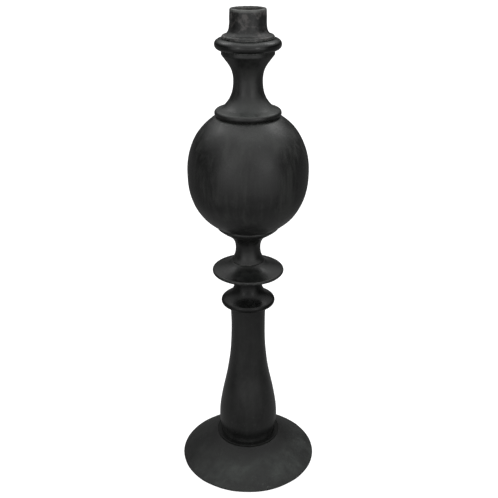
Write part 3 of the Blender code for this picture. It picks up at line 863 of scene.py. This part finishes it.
COLUMN_MIDDLE = (0.0, 0.0, 0.6)
SOFT_LIGHTS = (
    SoftLight("overhead", (0.0, -0.3, 3.0), (0.0, 0.0, 0.5), (1.6, 1.2), 3.0),
    SoftLight("front_left", (-1.5, -2.3, 1.5), COLUMN_MIDDLE, (0.6, 1.1), 2.4),
    SoftLight("front_right", (1.5, -2.3, 1.5), COLUMN_MIDDLE, (0.6, 1.1), 3.0),
    SoftLight("back_left", (-1.2, 0.75, 2.5), (0.0, 0.0, 0.9), (1.0, 0.8), 4.4),
    SoftLight("back_right", (1.2, 0.75, 2.5), (0.0, 0.0, 0.9), (1.0, 0.8), 4.8),
)

# The camera's place, in column heights, and how it looks down and aside.
CAMERA_BACK = 1.5024
CAMERA_UP = 1.1731
CAMERA_PITCH = math.radians(23.669)
CAMERA_TURN = math.radians(0.073)
CAMERA_LENS = 56.68
CAMERA_SENSOR = 36.0


def front_lobe(n, x, y):
    """1 towards the lit side, 0 away from it, with a narrow dip where the camera itself stands. Also
    gives the distance from the axis."""
    away = n.math("SQRT", n.math("ADD", n.math("MULTIPLY", x, x), n.math("MULTIPLY", y, y)))
    front = n.math("DIVIDE", n.math("MULTIPLY", y, -1.0), n.math("MAXIMUM", away, 0.01))
    lobe = n.ramp(front, math.cos(LOBE_END), math.cos(LOBE_FULL))
    sideways = n.math("ABSOLUTE", n.math("DIVIDE", x, n.math("MAXIMUM", away, 0.01)))
    return n.math("MULTIPLY", lobe, n.ramp(sideways, DIP_START, DIP_END, DIP_LEVEL, 1.0)), away


def seen_by_camera(n):
    return n.add("ShaderNodeLightPath").outputs["Is Camera Ray"]


def build_floor():
    """A plain pale floor. In reflections it is dimmer near the object and shows the lit side far off."""
    near, far = -FLOOR_HALF, FLOOR_HALF
    mesh = bpy.data.meshes.new("floor")
    mesh.from_pydata([(near, near, 0), (far, near, 0), (far, far, 0), (near, far, 0)], [], [(0, 1, 2, 3)])
    floor = bpy.data.objects.new("floor", mesh)
    bpy.context.scene.collection.objects.link(floor)
    n = Look("pale_floor")
    x, y, _ = n.split(n.add("ShaderNodeNewGeometry").outputs["Position"])
    lobe, away = front_lobe(n, x, y)
    side = n.ramp(away, FLOOR_NEAR_EDGE, FLOOR_SIDE_END, FLOOR_NEAR, SIDE_LEVEL)
    front = n.ramp(away, FLOOR_NEAR_EDGE, FLOOR_FRONT_END, FLOOR_NEAR, SIDE_LEVEL + FRONT_LEVEL)
    reflected = n.ramp(lobe, 0.0, 1.0, side, front)
    camera = seen_by_camera(n)
    glow = n.add("ShaderNodeEmission")
    n.put(glow.inputs["Strength"], n.ramp(camera, 0.0, 1.0, reflected, FLOOR_GLOW))
    n.set(colour=n.mix(camera, (0.1, 0.1, 0.1), (0.5, 0.5, 0.5)), roughness=0.9, specular=0.0)
    both = n.add("ShaderNodeAddShader")
    n.put(both.inputs[0], n.shader.outputs["BSDF"])
    n.put(both.inputs[1], glow.outputs["Emission"])
    n.put(n.tree.nodes["Material Output"].inputs["Surface"], both.outputs["Shader"])
    mesh.materials.append(n.material)


def build_world():
    """A soft white tent: bright towards the camera and overhead, dim at the sides, white to the camera."""
    world = bpy.data.worlds.new("studio")
    bpy.context.scene.world = world
    world.use_nodes = True
    n = Nodes(world.node_tree)
    x, y, up = n.split(n.add("ShaderNodeTexCoord").outputs["Generated"])
    lobe, _ = front_lobe(n, x, y)
    low = n.math("ADD", SIDE_LEVEL, n.math("MULTIPLY", lobe, FRONT_LEVEL))
    tent = n.ramp(up, WALL_START, WALL_END, low, UPPER_LEVEL)
    tent = n.math("ADD", tent, n.ramp(up, CEILING_START, 1.0, 0.0, CEILING_EXTRA))
    background = world.node_tree.nodes["Background"]
    n.put(background.inputs["Strength"], n.ramp(seen_by_camera(n), 0.0, 1.0, tent, BACKDROP_GLOW))
    background.inputs["Color"].default_value = (1.0, 1.0, 1.0, 1.0)


def build_camera():
    height = cad_box[1][2]
    data = bpy.data.cameras.new("camera")
    data.sensor_width = CAMERA_SENSOR
    data.lens = CAMERA_LENS
    camera = bpy.data.objects.new("camera", data)
    camera.location = (0.0, -CAMERA_BACK * height, CAMERA_UP * height)
    camera.rotation_euler = (math.pi / 2 - CAMERA_PITCH, 0.0, -CAMERA_TURN)
    bpy.context.scene.collection.objects.link(camera)
    bpy.context.scene.camera = camera


def build_light(soft_light):
    light = bpy.data.lights.new(soft_light.name, "AREA")
    light.shape = "RECTANGLE"
    light.size, light.size_y = soft_light.size
    light.energy = soft_light.power
    lamp = bpy.data.objects.new(soft_light.name, light)
    lamp.location = soft_light.place
    aim = Vector(soft_light.target) - Vector(soft_light.place)
    lamp.rotation_euler = aim.to_track_quat("-Z", "Y").to_euler()
    bpy.context.scene.collection.objects.link(lamp)


def build_studio():
    build_floor()
    build_world()
    build_camera()
    for soft_light in SOFT_LIGHTS:
        build_light(soft_light)
    bpy.context.scene.view_settings.view_transform = "Standard"


build_object()
build_studio()
